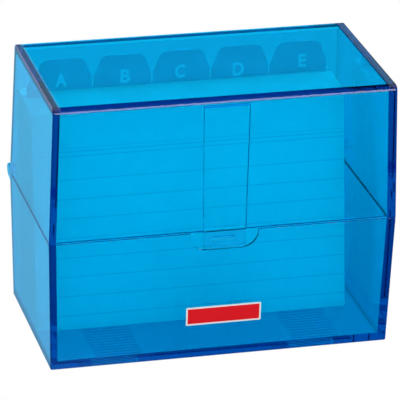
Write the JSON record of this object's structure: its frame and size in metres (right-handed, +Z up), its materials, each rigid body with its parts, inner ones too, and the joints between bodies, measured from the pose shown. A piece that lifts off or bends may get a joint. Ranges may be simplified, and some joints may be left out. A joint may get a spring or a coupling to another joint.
{
  "type": "index card box",
  "caption": "Hinged box of clear tinted plastic for standing index cards, with a snap tongue on the lid's front, ribbed floor, ruled cards and lettered divider tabs.",
  "frame": {"origin": "middle of the underside, on the face that the box stands on", "axes": "+X along the box's length to the right of someone facing the latch, -Y out of the front with the latch, +Z up"},
  "size_m": [0.1174, 0.068, 0.0919],
  "materials": {
    "tinted_plastic": "clear blue tint, gloss",
    "card_paper": "smooth, ruled",
    "divider_board": "smooth",
    "label_paper": "coated"
  },
  "bodies": {
    "base": {"base_shell": "tinted_plastic", "front_label": "label_paper", "rear_cards_1": "card_paper", "rear_cards_2": "card_paper", "rear_cards_3": "card_paper"},
    "lid": {"lid_shell": "tinted_plastic"},
    "tongue": {"latch_tongue": "tinted_plastic"},
    "front_card": {"front_card": "card_paper"},
    "cards_1": {"cards_1": "card_paper"},
    "cards_2": {"cards_2": "card_paper"},
    "cards_3": {"cards_3": "card_paper"},
    "cards_4": {"cards_4": "card_paper"},
    "cards_5": {"cards_5": "card_paper"},
    "cards_6": {"cards_6": "card_paper"},
    "divider_a": {"divider_a": "divider_board"},
    "divider_b": {"divider_b": "divider_board"},
    "divider_c": {"divider_c": "divider_board"},
    "divider_d": {"divider_d": "divider_board"},
    "divider_e": {"divider_e": "divider_board"}
  },
  "joints": [
    {"name": "lid_hinge", "type": "hinge", "parent": "base", "child": "lid", "pos_m": [0, 0.0341, 0.04535], "axis": [-1, 0, 0], "range_deg": [0, 170]},
    {"name": "latch_flex", "type": "hinge", "parent": "lid", "child": "tongue", "pos_m": [0, -0.03016, 0.08943], "axis": [-1, 0, 0], "range_deg": [0, 4], "stiffness_Nm_per_rad": 0.3},
    {"name": "card_flip", "type": "hinge", "parent": "base", "child": "cards_1", "pos_m": [-0.00213, -0.00502, 0.0026], "axis": [1, 0, 0], "range_deg": [0, 16]},
    {"name": "front_card_flip", "type": "hinge", "parent": "base", "child": "front_card", "pos_m": [-0.00213, -0.00549, 0.0026], "axis": [1, 0, 0], "range_deg": [0, 16.96]},
    {"name": "cards_2_flip", "type": "hinge", "parent": "base", "child": "cards_2", "pos_m": [-0.00213, -0.00084, 0.0026], "axis": [1, 0, 0], "range_deg": [0, 14.56]},
    {"name": "cards_3_flip", "type": "hinge", "parent": "base", "child": "cards_3", "pos_m": [-0.00213, 0.00333, 0.0026], "axis": [1, 0, 0], "range_deg": [0, 13.12]},
    {"name": "cards_4_flip", "type": "hinge", "parent": "base", "child": "cards_4", "pos_m": [-0.00213, 0.00749, 0.0026], "axis": [1, 0, 0], "range_deg": [0, 11.68]},
    {"name": "cards_5_flip", "type": "hinge", "parent": "base", "child": "cards_5", "pos_m": [-0.00213, 0.01164, 0.0026], "axis": [1, 0, 0], "range_deg": [0, 10.24]},
    {"name": "cards_6_flip", "type": "hinge", "parent": "base", "child": "cards_6", "pos_m": [-0.00213, 0.01579, 0.0026], "axis": [1, 0, 0], "range_deg": [0, 8.8]},
    {"name": "divider_a_flip", "type": "hinge", "parent": "base", "child": "divider_a", "pos_m": [-0.00213, 0.01994, 0.0026], "axis": [1, 0, 0], "range_deg": [0, 7.36]},
    {"name": "divider_b_flip", "type": "hinge", "parent": "base", "child": "divider_b", "pos_m": [-0.00213, 0.02034, 0.0026], "axis": [1, 0, 0], "range_deg": [0, 5.92]},
    {"name": "divider_c_flip", "type": "hinge", "parent": "base", "child": "divider_c", "pos_m": [-0.00213, 0.02074, 0.0026], "axis": [1, 0, 0], "range_deg": [0, 4.48]},
    {"name": "divider_d_flip", "type": "hinge", "parent": "base", "child": "divider_d", "pos_m": [-0.00213, 0.02114, 0.0026], "axis": [1, 0, 0], "range_deg": [0, 3.04]},
    {"name": "divider_e_flip", "type": "hinge", "parent": "base", "child": "divider_e", "pos_m": [-0.00213, 0.02154, 0.0026], "axis": [1, 0, 0], "range_deg": [0, 1.6]}
  ],
  "couplings": [
    {"joint": "front_card_flip", "follows": "card_flip", "ratio": 1.06},
    {"joint": "cards_2_flip", "follows": "card_flip", "ratio": 0.91},
    {"joint": "cards_3_flip", "follows": "card_flip", "ratio": 0.82},
    {"joint": "cards_4_flip", "follows": "card_flip", "ratio": 0.73},
    {"joint": "cards_5_flip", "follows": "card_flip", "ratio": 0.64},
    {"joint": "cards_6_flip", "follows": "card_flip", "ratio": 0.55},
    {"joint": "divider_a_flip", "follows": "card_flip", "ratio": 0.46},
    {"joint": "divider_b_flip", "follows": "card_flip", "ratio": 0.37},
    {"joint": "divider_c_flip", "follows": "card_flip", "ratio": 0.28},
    {"joint": "divider_d_flip", "follows": "card_flip", "ratio": 0.19},
    {"joint": "divider_e_flip", "follows": "card_flip", "ratio": 0.1}
  ]
}
